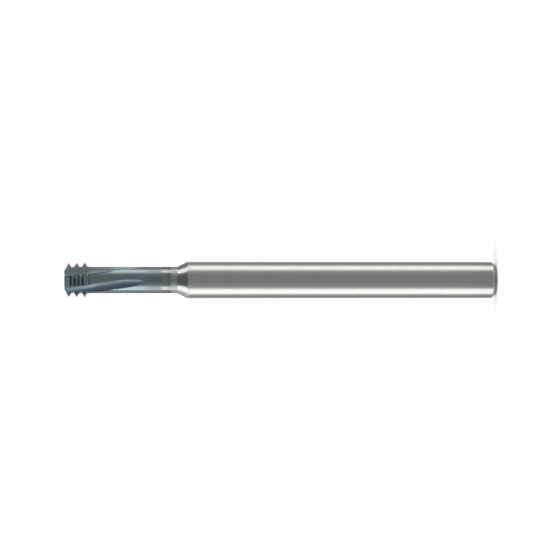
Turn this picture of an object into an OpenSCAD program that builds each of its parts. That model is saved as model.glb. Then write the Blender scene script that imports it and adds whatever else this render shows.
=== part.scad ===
// Solid carbide thread mill, ground from one rod.
// It stands on its shank end, with the tool axis on Z and the cutting head on top.
// The flutes are left-hand helices, and the teeth are rings with no lead.

/* [Shank] */
// Shank diameter, which the collet holds
shank_d = 8; // [7:0.5:12]
// Length over all
overall_l = 96; // [80:1:140]
// Chamfer around the shank's end
end_chamfer = 0.9; // [0.3:0.1:1.5]

/* [Neck] */
// Neck diameter behind the teeth
neck_d = 5.8; // [5.2:0.1:6.2]
// Reach from the front face to the cone
reach = 24.9; // [21:0.1:40]
// Half angle of the cone between neck and shank
cone_angle = 26; // [15:1:45]
// Fillet where the neck runs into the cone
cone_fillet = 1.2; // [0.5:0.1:4]

/* [Teeth] */
// Diameter over the cutting edges
cutter_d = 7.9; // [7.4:0.1:9]
// Pitch of the thread that the teeth cut
pitch = 1.75; // [1.5:0.05:2]
// Teeth in the row on each land
tooth_count = 3; // [1:1:5]
// Angle between the two flanks of a tooth
thread_angle = 60; // [55:1:62]
// Flat on each crest
crest_flat = 0.11; // [0.05:0.01:0.2]
// Depth of a tooth from crest to root
tooth_depth = 0.92; // [0.7:0.01:1]
// Diameter of the front face at the cutting edges
front_d = 4.6; // [4.4:0.1:5.4]
// Distance from the front face to the middle of the first crest
first_crest = 0.98; // [0.8:0.02:1.4]
// Plain ground stretch behind the last root
tail_l = 0.3; // [0.1:0.05:0.8]
// Relief angle behind each cutting edge
relief_angle = 9; // [4:0.5:12]

/* [Flutes] */
// Number of flutes
flute_count = 4; // [3:1:5]
// Helix angle at the cutter diameter
helix_angle = 11; // [5:0.5:20]
// Diameter of the core that the flutes leave
core_d = 3.8; // [3.4:0.1:4.2]
// Radius of the flute's round floor
floor_r = 0.9; // [0.7:0.05:1.1]
// Lean of the wall under the cutting edge, from the flute's centre line
rake_lean = 39.5; // [32:0.5:46]
// Lean of the wall behind the land, from the flute's centre line
heel_lean = 24.5; // [14:0.5:32]
// Length of the flutes from the front face to where they run out
flute_l = 17.3; // [15:0.1:20]
// Radius of the grinding wheel, which sets the run-out
wheel_r = 18; // [12:1:40]

/* [Hidden] */

carbide = [0.46, 0.47, 0.48];

shank_r = shank_d / 2;
neck_r = neck_d / 2;
cutter_r = cutter_d / 2;
front_r = front_d / 2;
core_r = core_d / 2;
cone_l = (shank_r - neck_r) / tan(cone_angle);

// The tooth form at the cutting edge: straight flanks, flat crests and full round roots
half_angle = thread_angle / 2;
sharp_depth = (pitch - crest_flat) / 2 / tan(half_angle);
root_fillet = (sharp_depth - tooth_depth) / (1 / sin(half_angle) - 1);
root_r = cutter_r - tooth_depth;
head_l = first_crest + (tooth_count - 0.5) * pitch + tail_l;

// Each land is ground about an axis that lies off the tool's own by this much
relief_offset = cutter_r * tan(relief_angle);

// Turn of the helix for each millimetre along the tool
turn_per_mm = 360 * tan(helix_angle) / (PI * cutter_d);

// The flute's section: floor arc about floor_x, and where the rake wall leaves it
floor_x = core_r + floor_r;
rake_turn = 90 - rake_lean;
heel_turn = 90 - heel_lean;
rake_foot = [floor_x - floor_r * cos(rake_turn), floor_r * sin(rake_turn)];
heel_foot = [floor_x - floor_r * cos(heel_turn), -floor_r * sin(heel_turn)];

// Angle from the flute's centre line to its cutting edge
rake_along = rake_foot * [cos(rake_lean), sin(rake_lean)];
rake_reach = sqrt(rake_along ^ 2 - rake_foot * rake_foot + cutter_r ^ 2) - rake_along;
edge_x = rake_foot.x + rake_reach * cos(rake_lean);
edge_y = rake_foot.y + rake_reach * sin(rake_lean);
edge_angle = atan2(edge_y, edge_x);

// How far the flute's cutting space reaches past the metal, in front, outside and at the run-out
clear_front = 1;
clear_out = 1;
clear = 0.2;

// Where the wheel starts to lift, and how far it travels until it is clear of the neck
runout_l = sqrt(2 * wheel_r * (neck_r - core_r) - (neck_r - core_r) ^ 2);
clear_l = sqrt(2 * wheel_r * (neck_r - core_r + clear) - (neck_r - core_r + clear) ^ 2);
lift_start = flute_l - runout_l;

// Steps along the flute, around its floor and around a tooth's root
full_steps = 9;
lift_steps = 12;
floor_steps = 12;
root_steps = 6;

// Facets of the turned surfaces
round_fn = 128;

// The core inside the lands stays just under the flute floors
core_share = 0.96;

// Each land's sector runs this many degrees into the next, inside a flute's space
sector_lap = 3;
sector_r = 2 * cutter_d;

// Turn of the flutes at a distance s behind the front face
function helix_turn(s) = s * turn_per_mm;

// Radius about a land's own axis that leaves radius r at the cutting edge, s behind the front
function ground_r(r, s) =
    sqrt(r ^ 2 + relief_offset ^ 2 + 2 * r * relief_offset * sin(helix_turn(s)));

// Outline point of a land at radius r and s behind the front
function land_point(r, s) = [ground_r(r, s), overall_l - s];

// Crest of tooth k, and the round root behind it up to the given turn
function crest_at(k) = first_crest + k * pitch;
function crest(k) = [for (side = [-0.5, 0.5]) land_point(cutter_r, crest_at(k) + side * crest_flat)];
function root(k, last_turn) = [
    for (i = [0:root_steps])
        let (start = half_angle - 90, a = start + (last_turn - start) * i / root_steps)
            land_point(root_r + root_fillet * (1 - cos(a)), crest_at(k) + pitch / 2 + root_fillet * sin(a))
];

// How far the wheel has lifted at a distance s behind the front face
function lift(s) = s < lift_start ? 0 : wheel_r - sqrt(wheel_r ^ 2 - (s - lift_start) ^ 2);

// Section of a flute, from the heel wall's outer end to the rake wall's
wall_x = cutter_r + clear_out;
function wall_end(foot, lean) = [wall_x, foot.y + sign(foot.y) * (wall_x - foot.x) * tan(lean)];
flute_section = concat(
    [wall_end(heel_foot, heel_lean)],
    [for (i = [0:floor_steps])
        let (a = -heel_turn + (heel_turn + rake_turn) * i / floor_steps)
            [floor_x - floor_r * cos(a), floor_r * sin(a)]],
    [wall_end(rake_foot, rake_lean)]
);

// Stations along a flute, from in front of the tool to where the wheel is clear
flute_stations = concat(
    [for (i = [0:full_steps - 1]) (lift_start + clear_front) * i / full_steps - clear_front],
    [for (i = [0:lift_steps]) lift_start + clear_l * i / lift_steps]
);

// The section's points at one station, lifted and turned along the helix
function flute_ring(s) =
    let (turn = helix_turn(s) - edge_angle)
    [for (p = flute_section)
        let (x = p.x + lift(s))
            [x * cos(turn) - p.y * sin(turn), x * sin(turn) + p.y * cos(turn), overall_l - s]];

// Shank, cone, neck and core, turned as one rod
module rod() {
    neck_end = overall_l - reach;
    cone_end = neck_end - cone_l;
    fillet_l = cone_fillet * tan(cone_angle / 2);
    fillet_centre = [neck_r + cone_fillet, neck_end + fillet_l];
    rotate_extrude($fn = round_fn) {
        polygon([
            [0, 0],
            [shank_r - end_chamfer, 0],
            [shank_r, end_chamfer],
            [shank_r, cone_end],
            [neck_r, neck_end],
            [neck_r, overall_l - head_l],
            [core_r * core_share, overall_l - head_l],
            [core_r * core_share, overall_l],
            [0, overall_l]
        ]);
        difference() {
            polygon([
                [neck_r, neck_end],
                [neck_r + fillet_l * sin(cone_angle), neck_end - fillet_l * cos(cone_angle)],
                fillet_centre,
                [neck_r, neck_end + fillet_l]
            ]);
            translate(fillet_centre) circle(r = cone_fillet, $fn = round_fn);
        }
    }
}

// One land with its row of relieved teeth, still without flutes
module land() {
    last = tooth_count - 1;
    outline = concat(
        [[0, overall_l], land_point(front_r, 0)],
        [for (k = [0:1:last - 1]) each concat(crest(k), root(k, 90 - half_angle))],
        crest(last),
        root(last, 0),
        [land_point(root_r, head_l), [0, overall_l - head_l]]
    );
    split = helix_turn(head_l / 2) - edge_angle;
    sector = 360 / flute_count + sector_lap;
    intersection() {
        translate([0, -relief_offset, 0]) rotate_extrude($fn = round_fn) polygon(outline);
        translate([0, 0, overall_l - head_l])
            linear_extrude(height = head_l)
                polygon(concat([[0, 0]], [for (i = [0:2])
                    let (a = split + sector * i / 2) sector_r * [cos(a), sin(a)]]));
    }
}

// The space that the wheel grinds out for one flute
module flute() {
    rings = len(flute_stations);
    points = len(flute_section);
    polyhedron(
        points = [for (s = flute_stations) each flute_ring(s)],
        faces = concat(
            [[for (j = [0:points - 1]) j]],
            [[for (j = [0:points - 1]) rings * points - 1 - j]],
            [for (i = [0:rings - 2], j = [0:points - 1], half = [0, 1])
                let (a = i * points, b = a + points, next = (j + 1) % points)
                    half == 0 ? [a + j, b + j, a + next] : [a + next, b + j, b + next]]
        )
    );
}

module thread_mill() {
    color(carbide)
        difference() {
            union() {
                rod();
                for (i = [0:flute_count - 1]) rotate(i * 360 / flute_count) land();
            }
            for (i = [0:flute_count - 1]) rotate(i * 360 / flute_count) flute();
        }
}

thread_mill();
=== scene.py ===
"""Ground carbide thread mill: one fluted and turned surface, its finish and a small studio."""

import math
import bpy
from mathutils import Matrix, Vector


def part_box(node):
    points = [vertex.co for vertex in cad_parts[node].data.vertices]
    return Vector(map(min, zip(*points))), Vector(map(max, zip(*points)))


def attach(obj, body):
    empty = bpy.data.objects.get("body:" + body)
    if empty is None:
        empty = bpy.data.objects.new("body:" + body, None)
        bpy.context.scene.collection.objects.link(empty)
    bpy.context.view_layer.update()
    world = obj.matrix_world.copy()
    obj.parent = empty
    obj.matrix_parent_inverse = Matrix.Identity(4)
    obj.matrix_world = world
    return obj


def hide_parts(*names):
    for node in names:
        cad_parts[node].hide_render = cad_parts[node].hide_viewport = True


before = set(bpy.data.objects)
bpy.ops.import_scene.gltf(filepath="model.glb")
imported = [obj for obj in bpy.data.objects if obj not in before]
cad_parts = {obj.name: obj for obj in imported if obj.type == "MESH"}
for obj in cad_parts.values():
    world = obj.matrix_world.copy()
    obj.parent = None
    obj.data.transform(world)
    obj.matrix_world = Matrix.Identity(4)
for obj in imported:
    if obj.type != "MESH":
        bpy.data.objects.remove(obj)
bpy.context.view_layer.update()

from types import SimpleNamespace

import bpy
import numpy as np
from bpy.props import FloatProperty, FloatVectorProperty, IntProperty, PointerProperty
from mathutils import Matrix, Vector

bl_info = {
    "name": "Thread mill",
    "version": (1, 0, 0),
    "blender": (4, 5, 0),
    "location": "3D View > Sidebar > Thread mill",
    "description": "Builds a ground carbide thread mill, its finish and a small studio",
    "category": "Add Mesh",
}

MM = 0.001
NODE = "thread_mill"
TOOL_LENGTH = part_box(NODE)[1].z

# How finely the surface is divided around the tool: columns over a land and over a flute
LAND_COLUMNS = 30
FLUTE_COLUMNS = 38

# How finely it is divided along the tool: steps of its straight stretches and points of its curves
FRONT_STEPS = 9
FLANK_STEPS = 5
ROOT_POINTS = 17
LAST_ROOT_POINTS = 9
TAIL_STEPS = 3
FLUTED_STATIONS = 16
RUNOUT_STATIONS = 34
NECK_STEPS = 22
FILLET_POINTS = 12
CONE_STEPS = 5
SHANK_STEPS = 24
CHAMFER_STEPS = 3
EDGE_POINTS = 5

# Rings on each end face, as shares of its radius
FACE_RINGS = np.array([0.25, 0.5, 0.75, 0.96])

# Short steps behind the head and behind the flutes' end, in millimetres
HEAD_GAP = 0.03
FLUTE_GAP = 0.01

# Square root of what is left of a flute at its last station
LAST_ROOT = 0.04

# Painted highlight, as a lighter colour, on a flank's points behind a crest and ahead of the next, and
# on the cutting edges
HIGHLIGHT_BEHIND = np.array([0.85, 0.3, 0.0, 0.0])
HIGHLIGHT_AHEAD = np.array([0.4, 0.9])
CUTTING_EDGE_HIGHLIGHT = 0.3

# Columns of the painted line of shade along the heel, on the land and on the flute after it
HEEL_LAND_COLUMNS = 3
HEEL_FLUTE_COLUMNS = 1

# Where neighbouring faces meet more sharply than this, the edge stays crisp
CRISP_ANGLE = math.radians(28)


# Properties

def size(name, description, millimetres):
    """A length that a user would change, with its default in millimetres."""
    return FloatProperty(
        name=name, description=description, default=millimetres * MM, min=0.0, unit="LENGTH", precision=5
    )


def turn(name, description, degrees):
    """An angle that a user would change, with its default in degrees."""
    return FloatProperty(
        name=name, description=description, default=math.radians(degrees), min=0.0, subtype="ANGLE"
    )


def count(name, description, number):
    """A whole number that a user would change."""
    return IntProperty(name=name, description=description, default=number, min=1)


def share(name, description, value):
    """A value from 0 to 1 that a user would change."""
    return FloatProperty(
        name=name, description=description, default=value, min=0.0, max=1.0, subtype="FACTOR"
    )


def level(name, description, value):
    """A brightness that a user would change, where 1 is white."""
    return FloatProperty(name=name, description=description, default=value, min=0.0)


def colour(name, description, value):
    """A colour that a user would change."""
    return FloatVectorProperty(
        name=name, description=description, default=value, min=0.0, max=1.0, size=3, subtype="COLOR"
    )


class MillSizes(bpy.types.PropertyGroup):
    """Sizes of the tool, the same as those of its solid."""

    shank_d: size("Shank diameter", "Diameter that the collet holds", 8)
    overall_l: size("Length over all", "From the shank's end to the front face", TOOL_LENGTH / MM)
    end_chamfer: size("End chamfer", "Chamfer around the shank's end", 0.9)
    edge_break: size("Edge break", "How far the turned edges are softened", 0.12)
    neck_d: size("Neck diameter", "Diameter behind the teeth", 5.8)
    reach: size("Reach", "From the front face to the cone", 24.9)
    cone_angle: turn("Cone angle", "Half angle of the cone between neck and shank", 26)
    cone_fillet: size("Cone fillet", "Fillet where the neck runs into the cone", 1.2)
    cutter_d: size("Cutter diameter", "Diameter over the cutting edges", 7.9)
    pitch: size("Pitch", "Pitch of the thread that the teeth cut", 1.75)
    tooth_count: count("Teeth", "Teeth in the row on each land", 3)
    thread_angle: turn("Thread angle", "Angle between the two flanks of a tooth", 60)
    crest_flat: size("Crest flat", "Flat on each crest", 0.11)
    tooth_depth: size("Tooth depth", "From crest to root", 0.92)
    front_d: size("Front diameter", "Diameter of the front face at the cutting edges", 4.6)
    first_crest: size("First crest", "From the front face to the middle of the first crest", 0.98)
    tail_l: size("Tail", "Plain ground stretch behind the last root", 0.3)
    relief_angle: turn("Relief angle", "Relief behind each cutting edge", 9)
    flute_count: count("Flutes", "Number of flutes", 4)
    helix_angle: turn("Helix angle", "Helix angle at the cutter diameter", 11)
    core_d: size("Core diameter", "Core that the flutes leave", 3.8)
    floor_r: size("Floor radius", "Radius of the flute's round floor", 0.9)
    rake_lean: turn("Rake lean", "Lean of the wall under the cutting edge", 39.5)
    heel_lean: turn("Heel lean", "Lean of the wall behind the land", 24.5)
    flute_l: size("Flute length", "From the front face to where the flutes run out", 17.3)
    wheel_r: size("Wheel radius", "Grinding wheel that leaves the run-out", 18)


class MillFinish(bpy.types.PropertyGroup):
    """Colours and surface of the bare carbide and of the coating, and the highlights and shade painted
    into them.
    """

    bare: colour("Bare carbide", "Ground carbide of the shank", (0.482, 0.47, 0.45))
    # painted highlight: a lighter colour that stands for the light caught by crests, the flanks beside
    # them and the cutting edges
    worn: colour("Worn edge", "Carbide that shows on crests and cutting edges", (0.52, 0.61, 0.65))
    coat: colour("Coating", "Hard coating on the head and the neck", (0.238, 0.29, 0.305))
    coat_shift: colour("Coating shift", "Where the coating turns towards violet", (0.25, 0.283, 0.315))
    thin: colour("Thin coating", "Where the coating thins out", (0.214, 0.247, 0.258))
    straw: colour("Straw tint", "Heat tint where the coating ends", (0.315, 0.309, 0.276))
    blue: colour("Blue tint", "Heat tint behind the straw", (0.228, 0.249, 0.26))
    ring: colour("Dull ring", "Bare ring in front of the cone", (0.345, 0.352, 0.342))
    cone: colour("Cone", "Polished cone", (0.402, 0.413, 0.408))
    # painted reflection: a lighter tint that a flute gets under its cutting edge
    rake: colour("Rake tint", "Coating of a flute under the cutting edge", (0.256, 0.294, 0.303))
    # painted shade: a bluer, darker colour towards a flute's heel
    heel: colour("Heel tint", "Coating of a flute behind the land", (0.2, 0.255, 0.32))
    coat_end: size("Coating end", "From the front face to where the coating starts to fade", 17)
    fade_l: size("Fade", "Length over which the coating fades", 2.5)
    straw_l: size("Straw length", "Length of the polished straw zone", 2.4)
    ring_l: size("Ring length", "Length of the dull ring", 1.3)
    shank_rough: share("Shank roughness", "Roughness of the ground shank", 0.3)
    coat_rough: share("Coating roughness", "Roughness of the coated head and neck", 0.31)
    thin_rough: share("Thin coating roughness", "Roughness where the coating thins out", 0.4)
    flute_rough: share("Flute roughness", "Roughness of the coated flutes", 0.64)
    ring_rough: share("Ring roughness", "Roughness of the dull ring", 0.46)
    straw_rough: share("Straw roughness", "Roughness of the polished straw zone", 0.2)
    cone_rough: share("Cone roughness", "Roughness of the polished cone", 0.19)
    # painted highlights: how much brighter a flute's colour is made, standing for the light it reflects
    flute_tone: share("Flute brightness", "How much brighter a flute is than the land beside it", 0.2)
    rake_tone: share("Rake brightness", "How much brighter again it is under the cutting edge", 0.42)
    runout_tone: share("Run-out brightness", "How much brighter again it is near the run-out", 0.75)
    strip_tone: share("Strip brightness", "How much brighter again its floor is in the head", 0.82)
    # painted shade: how much darker a flute's colour is made along a line beside the strip and along the
    # heel
    floor_dark: share("Line darkness", "How much darker the line beside that strip is", 0.45)
    heel_dark: share("Heel darkness", "How much darker the edge behind a land is", 0.75)
    lane_slant: share("Slant", "How far lanes move across a flute for each millimetre along it", 0.112)
    mark_depth: size("Mark depth", "Depth of the grinding marks", 0.001)


class MillStudio(bpy.types.PropertyGroup):
    """Light levels and floor of the studio."""

    upper_level: level("Upper strip", "Brightness of the strip above the tool in the picture", 1.76)
    lower_level: level("Lower strip", "Brightness of the strip below the tool in the picture", 1.9)
    tent_level: level("Tent", "Brightness of the grey tent that the metal mirrors", 0.38)
    floor_tone: colour("Floor", "Colour of the plain floor", (0.96, 0.96, 0.96))
    floor_r: size("Floor radius", "Radius of the floor around the tool", 24)


# Tool geometry, in millimetres and radians

def worked_out(sizes):
    """The sizes in millimetres and radians, with the values that follow from them.

    They follow as in the solid: the root's fillet touches both flanks and the root, each land is ground
    about an axis set off by the cutter's radius times the tangent of the relief angle, and a flute's
    section is a floor arc with a straight wall leaving it on each side.
    """
    mill = SimpleNamespace(sector=2 * math.pi / sizes.flute_count, tooth_count=sizes.tooth_count)
    for name in sizes.__annotations__:
        prop = sizes.bl_rna.properties[name]
        if prop.unit == "LENGTH":
            setattr(mill, name, getattr(sizes, name) / MM)
        elif prop.subtype == "ANGLE":
            setattr(mill, name, getattr(sizes, name))
    mill.shank_r = mill.shank_d / 2
    mill.neck_r = mill.neck_d / 2
    mill.cutter_r = mill.cutter_d / 2
    mill.front_r = mill.front_d / 2
    mill.core_r = mill.core_d / 2
    mill.cone_l = (mill.shank_r - mill.neck_r) / math.tan(mill.cone_angle)
    mill.half = mill.thread_angle / 2
    sharp_depth = (mill.pitch - mill.crest_flat) / 2 / math.tan(mill.half)
    mill.root_fillet = (sharp_depth - mill.tooth_depth) / (1 / math.sin(mill.half) - 1)
    mill.root_r = mill.cutter_r - mill.tooth_depth
    mill.head_l = mill.first_crest + (mill.tooth_count - 0.5) * mill.pitch + mill.tail_l
    mill.relief_offset = mill.cutter_r * math.tan(mill.relief_angle)
    mill.turn_rate = math.tan(mill.helix_angle) / mill.cutter_r
    mill.rake_turn = math.pi / 2 - mill.rake_lean
    mill.heel_turn = math.pi / 2 - mill.heel_lean
    mill.rake_foot = floor_point(mill, mill.rake_turn)
    mill.heel_foot = floor_point(mill, -mill.heel_turn)
    lean = np.exp(1j * mill.rake_lean)
    along = (np.conj(lean) * mill.rake_foot).real
    rake_reach = math.sqrt(along**2 - abs(mill.rake_foot) ** 2 + mill.cutter_r**2) - along
    mill.edge_angle = np.angle(mill.rake_foot + rake_reach * lean)
    rise = mill.neck_r - mill.core_r
    mill.lift_start = mill.flute_l - math.sqrt(2 * mill.wheel_r * rise - rise**2)
    return mill


def floor_point(mill, bend):
    """Point of the floor arc, which touches the core on the x axis, at an angle round the arc."""
    return mill.core_r + mill.floor_r * (1 - np.exp(-1j * bend))


def wheel_lift(mill, s):
    """How far the wheel has lifted at s behind the front: its radius less its arc's height there."""
    return mill.wheel_r - np.sqrt(mill.wheel_r**2 - np.maximum(s - mill.lift_start, 0) ** 2)


def straight(start, end, steps):
    """Points from start up to, but not on, end, evenly spaced."""
    return start + (end - start) * np.arange(steps) / steps


def tooth_row(mill):
    """The tooth row's profile at the cutting edge, as s + i r, and the share of painted highlight at
    each of its points.

    From the front face a straight flank rises to the first crest. Each crest is a flat, and each root
    an arc of the root fillet between two straight flanks, and the last one ends in a plain tail. A
    highlight is painted in a lighter colour on the crests, the flanks beside them and the whole flank
    behind the last crest.
    """
    flat = mill.crest_flat / 2
    quarter = math.pi / 2 - mill.half
    tail_end = mill.head_l + 1j * mill.root_r
    points = [straight(1j * mill.front_r, mill.first_crest - flat + 1j * mill.cutter_r, FRONT_STEPS)]
    worn = [np.zeros(FRONT_STEPS)]
    for tooth in range(mill.tooth_count):
        last = tooth == mill.tooth_count - 1
        crest = mill.first_crest + tooth * mill.pitch
        crest_points = np.array([crest - flat, crest + flat]) + 1j * mill.cutter_r
        next_crest = crest + mill.pitch - flat + 1j * mill.cutter_r
        a = np.linspace(-quarter, 0 if last else quarter, LAST_ROOT_POINTS if last else ROOT_POINTS)
        arc = mill.root_fillet * np.sin(a) + 1j * mill.root_fillet * (1 - np.cos(a))
        arc = arc + crest + mill.pitch / 2 + 1j * mill.root_r
        falling = straight(crest_points[1], arc[0], FLANK_STEPS)[1:]
        if last:
            rising = straight(arc[-1], tail_end, TAIL_STEPS)[1:]
        else:
            rising = straight(arc[-1], next_crest, FLANK_STEPS)[1:]
        points += [crest_points, falling, arc, rising]
        behind = np.ones(len(falling)) if last else HIGHLIGHT_BEHIND
        ahead = np.zeros(len(HIGHLIGHT_AHEAD)) if last else HIGHLIGHT_AHEAD
        worn += [np.ones(2), behind, np.zeros(len(arc) + len(rising) - len(ahead)), ahead]
    points.append(np.array([tail_end]))
    worn.append(np.zeros(1))
    return np.concatenate(points), np.concatenate(worn)


def flute_end_stations(mill):
    """Stations from the head to the flutes' end: even at first, then closing in on the end.

    Near the end a flute's width goes with the square root of the distance left, so the stations are
    placed at even steps of that root, which gives the run-out's round end enough points.
    """
    even = np.linspace(mill.head_l + HEAD_GAP, mill.lift_start, FLUTED_STATIONS)[:-1]
    root = np.linspace(math.sqrt(mill.flute_l - mill.lift_start), LAST_ROOT, RUNOUT_STATIONS)
    return np.concatenate([even, mill.flute_l - root**2])


def fluted_rings(mill, s, ground, offset):
    """Sections of the fluted stretch, one row for each station s, as complex numbers x + i y.

    A land is an arc of radius ground about an axis that lies offset from the tool's own, from its
    cutting edge round to its heel, evenly by angle. A flute is the heel wall, the floor arc and the
    rake wall, evenly by length, turned along the helix and lifted with the wheel. Where a land's circle
    crosses the floor arc instead of a wall, the flute starts or ends on the arc. One sector is a land
    and the flute after it, and the others are the same sector turned. The second result is, for each
    point, the length along its flute's section from the core, towards the cutting edge.
    """
    s = s[:, None]
    ground = ground[:, None]
    axis = -1j * offset[:, None]
    spin = np.exp(1j * (s * mill.turn_rate - mill.edge_angle))
    lift = wheel_lift(mill, s)
    next_sector = np.exp(1j * mill.sector)

    def meet(foot, lean, side, full_turn, centre):
        """Length of a wall up to the land's circle, and of the floor arc between it and the core."""
        along = spin * np.exp(1j * side * lean)
        start = spin * (foot + lift) - centre
        b = (np.conj(along) * start).real
        wall = np.sqrt(np.maximum(b**2 - abs(start) ** 2 + ground**2, 0)) - b
        g = spin * (mill.core_r + mill.floor_r + lift) - centre
        k = (abs(g) ** 2 + mill.floor_r**2 - ground**2) / (2 * mill.floor_r * abs(g))
        bend = side * np.angle(np.conj(g) * spin) + np.arccos(np.clip(k, -1, 1))
        bend = np.where(wall > 0, full_turn, np.clip(bend, 0, full_turn))
        return np.maximum(wall, 0), bend * mill.floor_r

    rake_wall, rake_arc = meet(mill.rake_foot, mill.rake_lean, 1, mill.rake_turn, axis)
    heel_wall, heel_arc = meet(mill.heel_foot, mill.heel_lean, -1, mill.heel_turn, axis / next_sector)

    def flute_points(length):
        """Points of a flute at lengths from its heel."""
        past_core = length - heel_wall - heel_arc
        on_heel = mill.heel_foot + (heel_wall - length) * np.exp(-1j * mill.heel_lean)
        on_floor = floor_point(mill, past_core / mill.floor_r)
        on_rake = mill.rake_foot + (past_core - rake_arc) * np.exp(1j * mill.rake_lean)
        on_wall = (past_core > rake_arc) & (rake_wall > 0)
        point = np.where(length < heel_wall, on_heel, np.where(on_wall, on_rake, on_floor))
        return spin * (point + lift)

    whole = heel_wall + heel_arc + rake_arc + rake_wall
    lengths = whole * np.arange(FLUTE_COLUMNS) / FLUTE_COLUMNS
    flute = flute_points(lengths) * next_sector
    edge = flute_points(whole)
    land_turn = np.mod(np.angle(flute[:, :1] / edge), 2 * math.pi)
    angle = np.angle(edge) + land_turn * np.arange(LAND_COLUMNS) / LAND_COLUMNS
    offset = offset[:, None]
    radius = np.sqrt(ground**2 - (offset * np.cos(angle)) ** 2) - offset * np.sin(angle)
    sector = np.concatenate([radius * np.exp(1j * angle), flute], axis=1)
    sectors = round(2 * math.pi / mill.sector)
    past_core = np.zeros(sector.shape)
    past_core[:, :1] = rake_arc + rake_wall
    past_core[:, LAND_COLUMNS:] = lengths - heel_wall - heel_arc
    rings = np.concatenate([sector * next_sector**k for k in range(sectors)], axis=1)
    return rings, np.tile(past_core, sectors)


def softened(corner, before, after, width):
    """A turned edge broken by a short curve: a parabola that leaves and meets both sides at width."""
    t = np.linspace(0, 1, EDGE_POINTS)
    start = corner + width * (before - corner) / abs(before - corner)
    end = corner + width * (after - corner) / abs(after - corner)
    return (1 - t) ** 2 * start + 2 * t * (1 - t) * corner + t**2 * end


def turned_profile(mill):
    """The profile behind the flutes, as s + i r: neck, fillet, cone, shank and end chamfer.

    The fillet is an arc that leaves the neck and touches the cone. The edges are softened.
    """
    cone_end = mill.reach + mill.cone_l + 1j * mill.shank_r
    shank_end = mill.overall_l - mill.end_chamfer + 1j * mill.shank_r
    end_edge = mill.overall_l + 1j * (mill.shank_r - mill.end_chamfer)
    end_centre = complex(mill.overall_l)
    fillet_start = mill.reach - mill.cone_fillet * math.tan(mill.cone_angle / 2)
    a = np.linspace(0, mill.cone_angle, FILLET_POINTS)
    fillet = fillet_start + mill.cone_fillet * np.sin(a)
    fillet = fillet + 1j * (mill.neck_r + mill.cone_fillet * (1 - np.cos(a)))
    cone_edge = softened(cone_end, fillet[-1], shank_end, mill.edge_break)
    chamfer_edge = softened(shank_end, cone_end, end_edge, mill.edge_break)
    face_edge = softened(end_edge, shank_end, end_centre, mill.edge_break)
    neck_start = mill.flute_l + FLUTE_GAP + 1j * mill.neck_r
    return np.concatenate([
        straight(neck_start, fillet[0], NECK_STEPS),
        fillet,
        straight(fillet[-1], cone_edge[0], CONE_STEPS)[1:],
        cone_edge,
        straight(cone_edge[-1], chamfer_edge[0], SHANK_STEPS)[1:],
        chamfer_edge,
        straight(chamfer_edge[-1], face_edge[0], CHAMFER_STEPS)[1:],
        face_edge,
    ])


def turned_rings(mill, profile, last_ring):
    """Circles of the turned stretch, one row for each profile point.

    The columns leave the last fluted ring at its own angles and ease over to an even spacing.
    """
    columns = last_ring.shape[0]
    steps = np.mod(np.angle(np.roll(last_ring, -1) / last_ring), 2 * math.pi)
    bunched = np.angle(last_ring[0]) + np.concatenate([[0], np.cumsum(steps)[:-1]])
    even = bunched[0] + 2 * math.pi * np.arange(columns) / columns
    ease_l = mill.reach - mill.flute_l
    t = np.clip((profile.real - mill.flute_l) / ease_l, 0, 1)[:, None]
    eased = t * t * (3 - 2 * t)
    return profile.imag[:, None] * np.exp(1j * (bunched * (1 - eased) + even * eased))


def mill_grid(mill):
    """All rings of the tool from the front face's middle to the shank end's, with s for each row.

    Returns s, the rings, and marks by name: for each point how far it belongs to a flute, how far past
    that flute's core it lies, how far it lies on a heel's edge, where shade is painted, and its share of
    painted highlight on crests and cutting edges.
    """
    head, worn = tooth_row(mill)
    head_s = head.real
    twist = np.sin(head_s * mill.turn_rate)
    off_axis = mill.relief_offset
    head_ground = np.sqrt(head.imag**2 + off_axis**2 + 2 * head.imag * off_axis * twist)
    neck_s = flute_end_stations(mill)
    fluted_s = np.concatenate([head_s, neck_s])
    ground = np.concatenate([head_ground, np.full(len(neck_s), mill.neck_r)])
    offset = np.concatenate([np.full(len(head_s), off_axis), np.zeros(len(neck_s))])
    fluted, past_core = fluted_rings(mill, fluted_s, ground, offset)
    profile = turned_profile(mill)
    turned = turned_rings(mill, profile, fluted[-1])
    front = fluted[0] * FACE_RINGS[:, None]
    end = turned[-1] * FACE_RINGS[::-1, None]
    rings = np.concatenate([front, fluted, turned, end])
    first = len(FACE_RINGS)
    s = np.concatenate([np.zeros(first), fluted_s, profile.real, np.full(first, mill.overall_l)])

    in_sector = np.arange(rings.shape[1]) % (LAND_COLUMNS + FLUTE_COLUMNS)
    rows = np.arange(len(s))
    is_fluted = (rows >= first) & (rows < first + len(fluted_s))
    is_head = (rows >= first) & (rows < first + len(head_s))
    on_land = in_sector <= LAND_COLUMNS
    from_heel = in_sector - LAND_COLUMNS
    # columns along the heel where a dark line of shade is painted
    on_heel = (from_heel >= -HEEL_LAND_COLUMNS) & (from_heel <= HEEL_FLUTE_COLUMNS)
    # painted highlight on the crests, the flanks beside them and the cutting edges
    crest_highlight = np.zeros(len(s))
    crest_highlight[is_head] = worn
    cutting_edge_highlight = CUTTING_EDGE_HIGHLIGHT * is_head[:, None] * (in_sector == 0)
    across = np.zeros(rings.shape)
    across[is_fluted] = past_core
    marks = {
        "flute": is_fluted[:, None] & ~on_land,
        "across": across,
        "heel": is_fluted[:, None] & on_heel,
        "wear": np.maximum(crest_highlight[:, None] * on_land, cutting_edge_highlight),
    }
    return s, rings, marks


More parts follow.
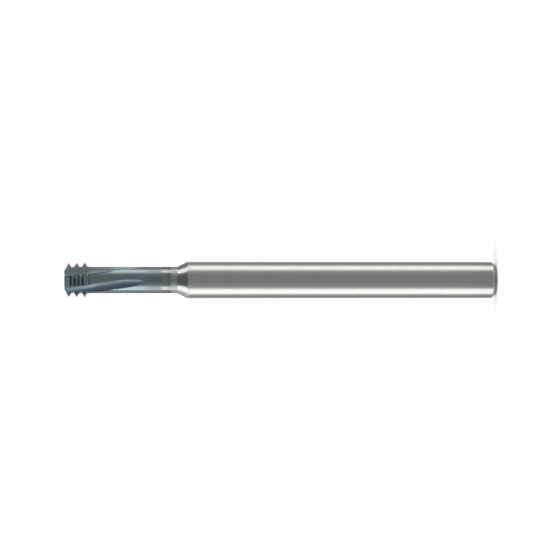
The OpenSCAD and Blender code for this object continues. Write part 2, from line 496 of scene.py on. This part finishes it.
def closed_mesh(name, heights, rings, marks):
    """A mesh of quads between neighbouring rings, with a fan to a middle point at each end.

    Each ring is a row of points x + i y at one height, in millimetres, from the top down. The UV map
    runs with the columns and with the height. marks holds point values by name, one for each grid point.
    """
    rows, columns = rings.shape
    upright = np.broadcast_to(heights[:, None], rings.shape)
    grid = np.stack([rings.real, rings.imag, upright], axis=-1).reshape(-1, 3)
    ends = np.array([[0, 0, heights[0]], [0, 0, heights[-1]]])
    points = np.concatenate([grid, ends]) * MM
    row, column = np.meshgrid(np.arange(rows - 1), np.arange(columns), indexing="ij")
    after = (column + 1) % columns
    quads = np.stack([
        row * columns + column,
        (row + 1) * columns + column,
        (row + 1) * columns + after,
        row * columns + after,
    ], axis=-1).reshape(-1, 4)
    around = np.arange(columns)
    ahead = (around + 1) % columns
    base = (rows - 1) * columns
    top_fan = np.stack([np.full(columns, rows * columns), around, ahead], axis=-1)
    end_fan = np.stack([np.full(columns, rows * columns + 1), base + ahead, base + around], axis=-1)
    fans = np.concatenate([top_fan, end_fan])
    corners = np.concatenate([quads.ravel(), fans.ravel()])
    starts = np.concatenate([np.arange(len(quads)) * 4, quads.size + np.arange(len(fans)) * 3])

    mesh = bpy.data.meshes.new(name)
    mesh.vertices.add(len(points))
    mesh.vertices.foreach_set("co", points.astype(np.float32).ravel())
    mesh.loops.add(len(corners))
    mesh.loops.foreach_set("vertex_index", corners.astype(np.int32))
    mesh.polygons.add(len(starts))
    mesh.polygons.foreach_set("loop_start", starts.astype(np.int32))
    mesh.polygons.foreach_set("use_smooth", np.ones(len(starts), bool))
    mesh.update(calc_edges=True)

    down = (heights[0] - heights) / (heights[0] - heights[-1])
    along = np.stack([down[row], down[row + 1], down[row + 1], down[row]], axis=-1).ravel()
    across = np.stack([column, column, column + 1, column + 1], axis=-1).ravel() / columns
    top_across = np.stack([around + 0.5, around, around + 1], axis=-1).ravel() / columns
    end_across = np.stack([around + 0.5, around + 1, around], axis=-1).ravel() / columns
    u = np.concatenate([across, top_across, end_across])
    v = np.concatenate([along, np.zeros(3 * columns), np.ones(3 * columns)])
    uv = mesh.uv_layers.new(name="grind")
    uv.data.foreach_set("uv", np.stack([u, v], axis=-1).astype(np.float32).ravel())
    for mark, values in marks.items():
        layer = mesh.attributes.new(mark, "FLOAT", "POINT")
        layer.data.foreach_set("value", np.append(values.ravel(), [0, 0]).astype(np.float32))
    mesh.set_sharp_from_angle(angle=CRISP_ANGLE)
    if mesh.validate():
        raise RuntimeError(f"{name} has faces that aren't valid")
    return mesh


# Finishes

# Noise by its stretch on each axis and its detail: clouds, ring marks and marks along a flute
CLOUDS = ((260, 260, 260), 3)
RING_MARKS = ((90, 90, 2600), 5)
FLUTE_MARKS = ((420, 34, 0), 4)
NOISE_ROUGHNESS = 0.6
NOISE_MIDDLE = 0.5

# How far the clouds move the borders of the coating and of the dull ring, in millimetres
COAT_RAGGED = 1.2
RING_RAGGED = 0.4

# Values of the clouds between which the coating shifts its tone
COAT_SHIFT = (0.4, 0.65)

# Ramps along the tool: start and end in millimetres behind the border that each belongs to
STRAW_RAMP = (-0.6, 1.0)
BLUE_RAMP = (1.1, 2.0)
RING_RAMP = (-0.5, 0.2)
CONE_RAMP = (-0.25, 0.2)
SHANK_RAMP = (-0.05, 0.15)
HEAD_RAMP = (0.0, 2.5)
TEETH_RAMP = (-0.9, 0.6)
HEEL_LINE_RAMP = (-1.6, -0.1)
RUNOUT_RAMP = (-2.2, 0.6)
RUNOUT_END_RAMP = (-2.8, -0.8)

# Bands along the tool: ends of the rise and of the fall in millimetres behind an edge or a crest
SHANK_EDGE = (-0.05, 0.15, 0.3, 0.6)
# the chamfer rim, the back flank and the tail line are bands of painted highlight and painted shade
CHAMFER_RIM = (-0.15, 0.0, 0.2, 0.5)
BACK_FLANK = (0.1, 0.25, 0.55, 0.75)
TAIL_LINE = (0.65, 0.85, 1.05, 1.3)

# Lanes along a flute, where highlights and shade are painted into its colour: ends of the rise and of
# the fall in millimetres past its core, on the slant
HEEL_END_LANE = (-2.3, -1.8)
HEEL_LANE = (-1.45, -0.95)
STRIP_LANE = (-1.5, -1.1, -0.95, -0.55)
LINE_LANE = (-0.6, -0.4, -0.25, 0.0)
RAKE_LANE = (-0.6, 0.0)
RUNOUT_LANE = (0.4, 0.8)

# How far the rake lane lies nearer to the cutting edge in the teeth, in millimetres
RAKE_SHIFT = 0.5

# How much brighter the painted highlight of the rake lane is behind the teeth, and how much weaker the
# painted shade of the heel line is in the head
RAKE_BEHIND = 0.6
HEEL_LINE_EASE = 0.35

# Painted highlight on the chamfer's rim and on the flank behind the last crest, and painted shade on the
# line behind that flank
RIM_HIGHLIGHT = 0.6
BACK_FLANK_HIGHLIGHT = 0.5
TAIL_SHADE = 0.4

# How far the painted edge highlight covers an edge, and what the shank's edge and the grinding marks add
EDGE_HIGHLIGHT_SHARE = 0.9
SHANK_EDGE_ROUGH = 0.12
MARK_ROUGH = 0.08
MARK_TONE = 0.12
MARK_STRENGTH = 0.6

# The floor: the share of its radius where it starts to fade, and its roughness
FLOOR_FADE = 0.3
FLOOR_ROUGH = 0.9


class Value:
    """A shader socket that works in Python sums. Each operation adds one Math node."""

    def __init__(self, finish, socket):
        self.finish = finish
        self.socket = socket

    def math(self, operation, first, second):
        """A Math node on two values."""
        return self.finish.add("ShaderNodeMath", {"operation": operation}, {0: first, 1: second})

    def __add__(self, other):
        return self.math("ADD", self, other)

    def __radd__(self, other):
        return self.math("ADD", other, self)

    def __sub__(self, other):
        return self.math("SUBTRACT", self, other)

    def __rsub__(self, other):
        return self.math("SUBTRACT", other, self)

    def __mul__(self, other):
        return self.math("MULTIPLY", self, other)

    def __rmul__(self, other):
        return self.math("MULTIPLY", other, self)


class Finish:
    """A material and its nodes."""

    def __init__(self, name):
        self.material = bpy.data.materials.new(name)
        self.material.use_nodes = True
        self.tree = self.material.node_tree
        self.tree.nodes.clear()

    def add(self, kind, settings, inputs, output=0):
        """Adds a node, sets it, fills or links its sockets, and gives one of its outputs."""
        node = self.tree.nodes.new(kind)
        for name, value in settings.items():
            setattr(node, name, value)
        for name, value in inputs.items():
            if isinstance(value, Value):
                self.tree.links.new(value.socket, node.inputs[name])
            else:
                node.inputs[name].default_value = value
        return Value(self, node.outputs[output]) if node.outputs else None

    def blend(self, factor, first, second):
        """A colour between two, by a factor."""
        return self.add("ShaderNodeMix", {"data_type": "RGBA"}, {0: factor, 6: first, 7: second}, 2)

    def ramp(self, value, start, end):
        """0 before start, 1 after end, and smooth between them."""
        return self.add(
            "ShaderNodeMapRange",
            {"interpolation_type": "SMOOTHSTEP"},
            {"Value": value, "From Min": start, "From Max": end},
        )

    def border(self, value, at, soft):
        """0 before a border and 1 behind it, where soft is the ramp's start and end from the border."""
        return self.ramp(value, at + soft[0], at + soft[1])

    def band(self, value, at, edges):
        """1 inside a band and 0 outside, where edges are the ends of its rise and fall, from at."""
        return self.border(value, at, edges[:2]) * (1 - self.border(value, at, edges[2:]))

    def noise(self, vector, stretch, detail):
        """Noise on a vector stretched by a factor on each axis, about its middle value."""
        spread = self.add("ShaderNodeVectorMath", {"operation": "MULTIPLY"}, {0: vector, 1: stretch})
        grain = {"Vector": spread, "Scale": 1.0, "Detail": detail, "Roughness": NOISE_ROUGHNESS}
        return self.add("ShaderNodeTexNoise", {}, grain, "Fac")

    def mark(self, name):
        """A point value of the mesh by its name."""
        return self.add("ShaderNodeAttribute", {"attribute_name": name}, {}, "Fac")

    def shade(self, kind, inputs):
        """Closes the material with a surface shader."""
        surface = self.add(kind, {}, inputs)
        self.add("ShaderNodeOutputMaterial", {}, {"Surface": surface})
        return self.material


def rgba(tone):
    """A colour property with full opacity."""
    return (*tone, 1.0)


def finish_zones(look, finish, mill, s, cloud):
    """How far a point belongs to each zone along the tool, by its distance s behind the front face.

    Each zone starts with a smooth ramp at its border. Clouds make the borders of the coating ragged.
    """
    coat_end = finish.coat_end / MM
    ring_start = mill.reach - finish.ring_l / MM
    straw_start = ring_start - finish.straw_l / MM
    cone_end = mill.reach + mill.cone_l
    last_crest = mill.head_l - mill.tail_l - mill.pitch / 2
    coat_ragged = s + (cloud - NOISE_MIDDLE) * COAT_RAGGED
    ring_ragged = s + (cloud - NOISE_MIDDLE) * RING_RAGGED
    return SimpleNamespace(
        thin=look.ramp(coat_ragged, coat_end, coat_end + finish.fade_l / MM),
        straw=look.border(coat_ragged, straw_start, STRAW_RAMP),
        blue=look.border(s, straw_start, BLUE_RAMP),
        ring=look.border(ring_ragged, ring_start, RING_RAMP),
        cone=look.border(s, mill.reach, CONE_RAMP),
        shank=look.border(s, cone_end, SHANK_RAMP),
        shank_edge=look.band(s, cone_end, SHANK_EDGE),
        # bands of painted highlight on the chamfer rim and the back flank, and of painted shade on the
        # tail line
        rim=look.band(s, mill.overall_l - mill.end_chamfer, CHAMFER_RIM),
        back_flank=look.band(s, last_crest, BACK_FLANK),
        tail_line=look.band(s, last_crest, TAIL_LINE),
        head=1 - look.border(s, mill.head_l, HEAD_RAMP),
        teeth=1 - look.border(s, mill.head_l, TEETH_RAMP),
    )


def flute_lanes(look, finish, mill, s, zone):
    """How far a point belongs to each lane along a flute, where highlights and shade are painted.

    A lane is a band of the length past the flute's core. Most lanes lie on a slant, which takes off a
    share of the distance s behind the front face.
    """
    across = look.mark("across")
    slanted = across - finish.lane_slant * s
    runout = look.border(s, mill.lift_start, RUNOUT_RAMP)
    runout = runout * (1 - look.border(s, mill.flute_l, RUNOUT_END_RAMP))
    # painted shade: a dark line along the heel's edge, and a darker heel side of the flute in the head
    heel_line = look.mark("heel") * (1 - HEEL_LINE_EASE * zone.head)
    return SimpleNamespace(
        heel_line=heel_line * (1 - look.border(s, mill.lift_start, HEEL_LINE_RAMP)),
        heel_end=(1 - look.ramp(slanted, *HEEL_END_LANE)) * zone.head,
        heel=1 - look.ramp(slanted, *HEEL_LANE),
        strip=look.band(slanted, 0, STRIP_LANE) * zone.head,
        line=look.band(slanted, 0, LINE_LANE) * zone.teeth,
        rake=look.ramp(slanted - RAKE_SHIFT * zone.teeth, *RAKE_LANE),
        runout=look.ramp(across, *RUNOUT_LANE) * runout,
    )


def ground_carbide(finish, mill):
    """Ground carbide with a hard coating on the head and the neck.

    The distance from the front face, taken from the height, sets what lies where: coating, thin coating,
    a polished zone with a straw and a blue heat tint, a dull ring, the polished cone, and the shank.
    Cylinders carry ring marks of the grinding wheel and flutes carry marks along their own length.
    Highlights are painted into a flute's colour under the cutting edge, along its floor in the head and
    near the run-out, and shade is painted as a bluer, darker colour towards the heel and as dark lines.
    Crests, the flanks beside them and the cutting edges get a painted highlight in a lighter colour.
    """
    look = Finish("ground_carbide")
    place = look.add("ShaderNodeTexCoord", {}, {}, "Object")
    height = look.add("ShaderNodeSeparateXYZ", {}, {"Vector": place}, "Z")
    grind = look.add("ShaderNodeUVMap", {"uv_map": "grind"}, {})
    in_flute = look.mark("flute")
    cloud = look.noise(place, *CLOUDS)
    rings = look.noise(place, *RING_MARKS)
    streaks = look.noise(grind, *FLUTE_MARKS)
    marks = look.add("ShaderNodeMix", {"data_type": "FLOAT"}, {0: in_flute, 2: rings, 3: streaks})
    s = mill.overall_l - height * (1 / MM)
    zone = finish_zones(look, finish, mill, s, cloud)
    lane = flute_lanes(look, finish, mill, s, zone)

    tone = look.blend(look.ramp(cloud, *COAT_SHIFT), rgba(finish.coat), rgba(finish.coat_shift))
    covers = (
        (zone.thin, rgba(finish.thin)),
        (zone.straw, look.blend(zone.blue, rgba(finish.straw), rgba(finish.blue))),
        (zone.ring, rgba(finish.ring)),
        (zone.cone, rgba(finish.cone)),
        (zone.shank, rgba(finish.bare)),
        # painted shade in the heel tint, painted reflection in the rake tint, painted highlight on
        # crests and edges
        (in_flute * lane.heel, rgba(finish.heel)),
        (in_flute * lane.rake, rgba(finish.rake)),
        (look.mark("wear") * EDGE_HIGHLIGHT_SHARE, rgba(finish.worn)),
    )
    for cover, cover_tone in covers:
        tone = look.blend(cover, tone, cover_tone)

    # Painted highlights and shade: the colour is made brighter or darker by lanes on the flutes, bands
    # on the land, the chamfer rim and the heel line
    on_flute = finish.flute_tone + finish.strip_tone * lane.strip + finish.runout_tone * lane.runout
    on_flute = on_flute + finish.rake_tone * lane.rake * (1 + RAKE_BEHIND * (1 - zone.teeth))
    on_flute = on_flute - finish.floor_dark * lane.line - finish.heel_dark * lane.heel_end
    on_land = BACK_FLANK_HIGHLIGHT * zone.back_flank - TAIL_SHADE * zone.tail_line
    bright = 1 + in_flute * on_flute + (1 - in_flute) * on_land
    bright = bright + RIM_HIGHLIGHT * zone.rim - finish.heel_dark * lane.heel_line
    bright = bright * (1 + MARK_TONE * (marks - NOISE_MIDDLE))
    tone = look.add("ShaderNodeVectorMath", {"operation": "SCALE"}, {0: tone, "Scale": bright})

    rough = finish.coat_rough + (finish.flute_rough - finish.coat_rough) * in_flute
    rough = rough + (finish.thin_rough - finish.coat_rough) * zone.thin
    rough = rough + (finish.straw_rough - finish.thin_rough) * zone.straw
    rough = rough + (finish.ring_rough - finish.straw_rough) * zone.ring
    rough = rough + (finish.cone_rough - finish.ring_rough) * zone.cone
    rough = rough + (finish.shank_rough - finish.cone_rough) * zone.shank
    rough = rough + SHANK_EDGE_ROUGH * zone.shank_edge + MARK_ROUGH * (marks - NOISE_MIDDLE)
    relief = look.add(
        "ShaderNodeBump", {},
        {"Strength": MARK_STRENGTH, "Distance": finish.mark_depth, "Height": marks},
    )
    return look.shade(
        "ShaderNodeBsdfPrincipled",
        {"Base Color": tone, "Metallic": 1.0, "Roughness": rough, "Normal": relief},
    )


def plain_floor(tone, radius):
    """A matt pale floor that fades out towards its edge."""
    look = Finish("studio_floor")
    place = look.add("ShaderNodeTexCoord", {}, {}, "Object")
    away = look.add("ShaderNodeVectorMath", {"operation": "LENGTH"}, {0: place}, "Value")
    shown = 1 - look.ramp(away, FLOOR_FADE * radius, radius)
    return look.shade(
        "ShaderNodeBsdfPrincipled", {"Base Color": rgba(tone), "Roughness": FLOOR_ROUGH, "Alpha": shown}
    )


def grey_tent(brightness):
    """Softly glowing cloth that the metal mirrors, with patches of another tone."""
    look = Finish("studio_tent")
    place = look.add("ShaderNodeTexCoord", {}, {}, "Object")
    tone = rgba(TENT_TONE)
    for turn_up, height, inner, outer, patch in TENT_PATCHES:
        spot = facing(turn_up) * math.cos(height) + Vector((0, 0, math.sin(height)))
        centre = AIM + spot * TENT_R * MM
        ends = {0: place, 1: centre}
        away = look.add("ShaderNodeVectorMath", {"operation": "DISTANCE"}, ends, "Value")
        tone = look.blend(look.ramp(away, inner, outer), rgba(patch), tone)
    return look.shade("ShaderNodeEmission", {"Color": tone, "Strength": brightness})


# Studio

# Camera of the photograph: where it looks, from which side, how far off and through which lens
AIM = Vector((0, 0, 0.04821))
AZIMUTH = math.radians(30.4)
ELEVATION = math.radians(4.0)
DISTANCE = 0.667
LENS = 193.0
SENSOR = 36.0

# Strips beside the tool: turn from the camera towards the picture's top, width, level property, tone
STRIPS = {
    "strip_upper": (math.radians(84.5), 0.22, "upper_level", (1.0, 0.99, 0.97)),
    "strip_lower": (math.radians(-80.0), 0.28, "lower_level", (0.98, 1.0, 1.02)),
}

# How far off the strips stand, how tall they are and how high their middle is, in metres
STRIP_DISTANCE = 0.35
STRIP_HEIGHT = 0.9
STRIP_MIDDLE = 0.2

# The tent: radius in millimetres, tone, and angle from its pole to its first ring
TENT_R = 900
TENT_TONE = (0.96, 1.0, 1.02)
TENT_POLE = 0.02

# Patches of the tent: turn towards the picture's top, height angle, inner and outer radius, tone
TENT_PATCHES = (
    (math.radians(-36), math.radians(-4), 0.12, 0.3, (1.06, 1.16, 1.22)),
    (math.radians(-124), math.radians(30), 0.28, 0.45, (2.5, 2.45, 2.45)),
    (0.0, math.radians(47.8), 0.35, 0.75, (0.46, 0.48, 0.49)),
    (0.0, math.radians(-90), 0.12, 0.42, (0.48, 0.5, 0.51)),
)

# How far the floor lies under the tool, and the columns around the floor and the tent
FLOOR_GAP = 0.02 * MM
STAGE_COLUMNS = 96


def facing(turn_up):
    """Level direction from the tool, turned from the camera towards the top of the picture."""
    angle = AZIMUTH - math.pi / 2 + turn_up
    return Vector((math.cos(angle), math.sin(angle), 0))


def placed(right, up, back, where):
    """A matrix from three axes and a place."""
    turned = Matrix((right, up, back)).transposed().to_4x4()
    return Matrix.Translation(where) @ turned


def add_object(name, data):
    """A new object in the scene, for mesh, lamp or camera data."""
    made = bpy.data.objects.new(name, data)
    bpy.context.scene.collection.objects.link(made)
    return made


def add_camera():
    """The camera at the photograph's angle, with the tool level and its tip on the left."""
    flat = math.cos(ELEVATION)
    back = Vector((math.sin(AZIMUTH) * flat, -math.cos(AZIMUTH) * flat, math.sin(ELEVATION)))
    down = Vector((0, 0, -1))
    right = (down - back * down.dot(back)).normalized()
    camera = bpy.data.cameras.new("photo_camera")
    camera.lens = LENS
    camera.sensor_width = SENSOR
    made = add_object("photo_camera", camera)
    made.matrix_world = placed(right, back.cross(right), back, AIM + back * DISTANCE)
    bpy.context.scene.camera = made


def add_strip(name, outward, width, brightness, tone):
    """An upright strip lamp that faces the tool from a level direction."""
    lamp = bpy.data.lights.new(name, "AREA")
    lamp.shape = "RECTANGLE"
    lamp.size = width
    lamp.size_y = STRIP_HEIGHT
    lamp.energy = brightness * math.pi * width * STRIP_HEIGHT
    lamp.color = tone
    made = add_object(name, lamp)
    up = Vector((0, 0, 1))
    where = outward * STRIP_DISTANCE + up * STRIP_MIDDLE
    made.matrix_world = placed(up.cross(outward), up, outward, where)
    made.visible_camera = False


def floor_mesh(radius):
    """A flat disc just under the tool, in metres: one face whose corners lie evenly on a circle."""
    around = radius * np.exp(2j * math.pi * np.arange(STAGE_COLUMNS) / STAGE_COLUMNS)
    corners = np.stack([around.real, around.imag, np.full(STAGE_COLUMNS, -FLOOR_GAP)], axis=-1)
    mesh = bpy.data.meshes.new("studio_floor")
    mesh.from_pydata(corners.tolist(), [], [range(STAGE_COLUMNS)])
    return mesh


def tent_mesh(radius, middle):
    """A sphere around the tool: rings of radius r sin t at height r cos t above its middle."""
    around = np.exp(2j * math.pi * np.arange(STAGE_COLUMNS) / STAGE_COLUMNS)
    t = np.linspace(TENT_POLE, math.pi - TENT_POLE, STAGE_COLUMNS // 2)
    rings = radius * np.sin(t)[:, None] * around
    return closed_mesh("studio_tent", middle + radius * np.cos(t), rings, {})


class MILL_OT_thread_mill(bpy.types.Operator):
    """Builds the thread mill as one closed surface and gives it its finish"""

    bl_idname = "mill.thread_mill"
    bl_label = "Thread mill"

    def execute(self, context):
        mill = worked_out(context.scene.mill_sizes)
        s, rings, marks = mill_grid(mill)
        mesh = closed_mesh("thread_mill_surface", mill.overall_l - s, rings, marks)
        mesh.materials.append(ground_carbide(context.scene.mill_finish, mill))
        piece = add_object("thread_mill_surface", mesh)
        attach(piece, "root")
        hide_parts(NODE)
        return {"FINISHED"}


class MILL_OT_studio(bpy.types.Operator):
    """Sets up the floor, the tent, the strip lamps, the white surroundings and the camera"""

    bl_idname = "mill.studio"
    bl_label = "Studio"

    def execute(self, context):
        studio = context.scene.mill_studio
        context.scene.view_settings.view_transform = "Standard"
        world = bpy.data.worlds.new("studio_white")
        world.use_nodes = True
        surroundings = world.node_tree.nodes["Background"]
        surroundings.inputs["Color"].default_value = (1, 1, 1, 1)
        surroundings.inputs["Strength"].default_value = 1.0
        context.scene.world = world

        floor = add_object("studio_floor", floor_mesh(studio.floor_r))
        floor.data.materials.append(plain_floor(studio.floor_tone, studio.floor_r))
        floor.visible_glossy = False
        tent = add_object("studio_tent", tent_mesh(TENT_R, AIM.z / MM))
        tent.data.materials.append(grey_tent(studio.tent_level))
        tent.visible_camera = False
        tent.visible_diffuse = False
        tent.visible_shadow = False

        for name, (turn_up, width, brightness, tone) in STRIPS.items():
            add_strip(name, facing(turn_up), width, getattr(studio, brightness), tone)
        add_camera()
        return {"FINISHED"}


class MILL_PT_panel(bpy.types.Panel):
    """Lists what the add-on makes and the sizes and colours it takes"""

    bl_idname = "MILL_PT_panel"
    bl_label = "Thread mill"
    bl_space_type = "VIEW_3D"
    bl_region_type = "UI"
    bl_category = "Thread mill"

    def draw(self, context):
        column = self.layout.column()
        for operator in (MILL_OT_thread_mill, MILL_OT_studio):
            column.operator(operator.bl_idname)
        for group in GROUPS:
            box = self.layout.box()
            values = getattr(context.scene, group)
            for name in GROUPS[group].__annotations__:
                box.prop(values, name)


GROUPS = {"mill_sizes": MillSizes, "mill_finish": MillFinish, "mill_studio": MillStudio}
CLASSES = (MillSizes, MillFinish, MillStudio, MILL_OT_thread_mill, MILL_OT_studio, MILL_PT_panel)


def register():
    """Registers the classes and puts the property groups on the scene."""
    for made in CLASSES:
        bpy.utils.register_class(made)
    for name, group in GROUPS.items():
        setattr(bpy.types.Scene, name, PointerProperty(type=group))


def unregister():
    """Takes the property groups off the scene and unregisters the classes."""
    for name in GROUPS:
        delattr(bpy.types.Scene, name)
    for made in reversed(CLASSES):
        bpy.utils.unregister_class(made)


def main():
    """Makes the tool and the studio."""
    register()
    bpy.ops.mill.thread_mill()
    bpy.ops.mill.studio()


if __name__ == "__main__":
    main()
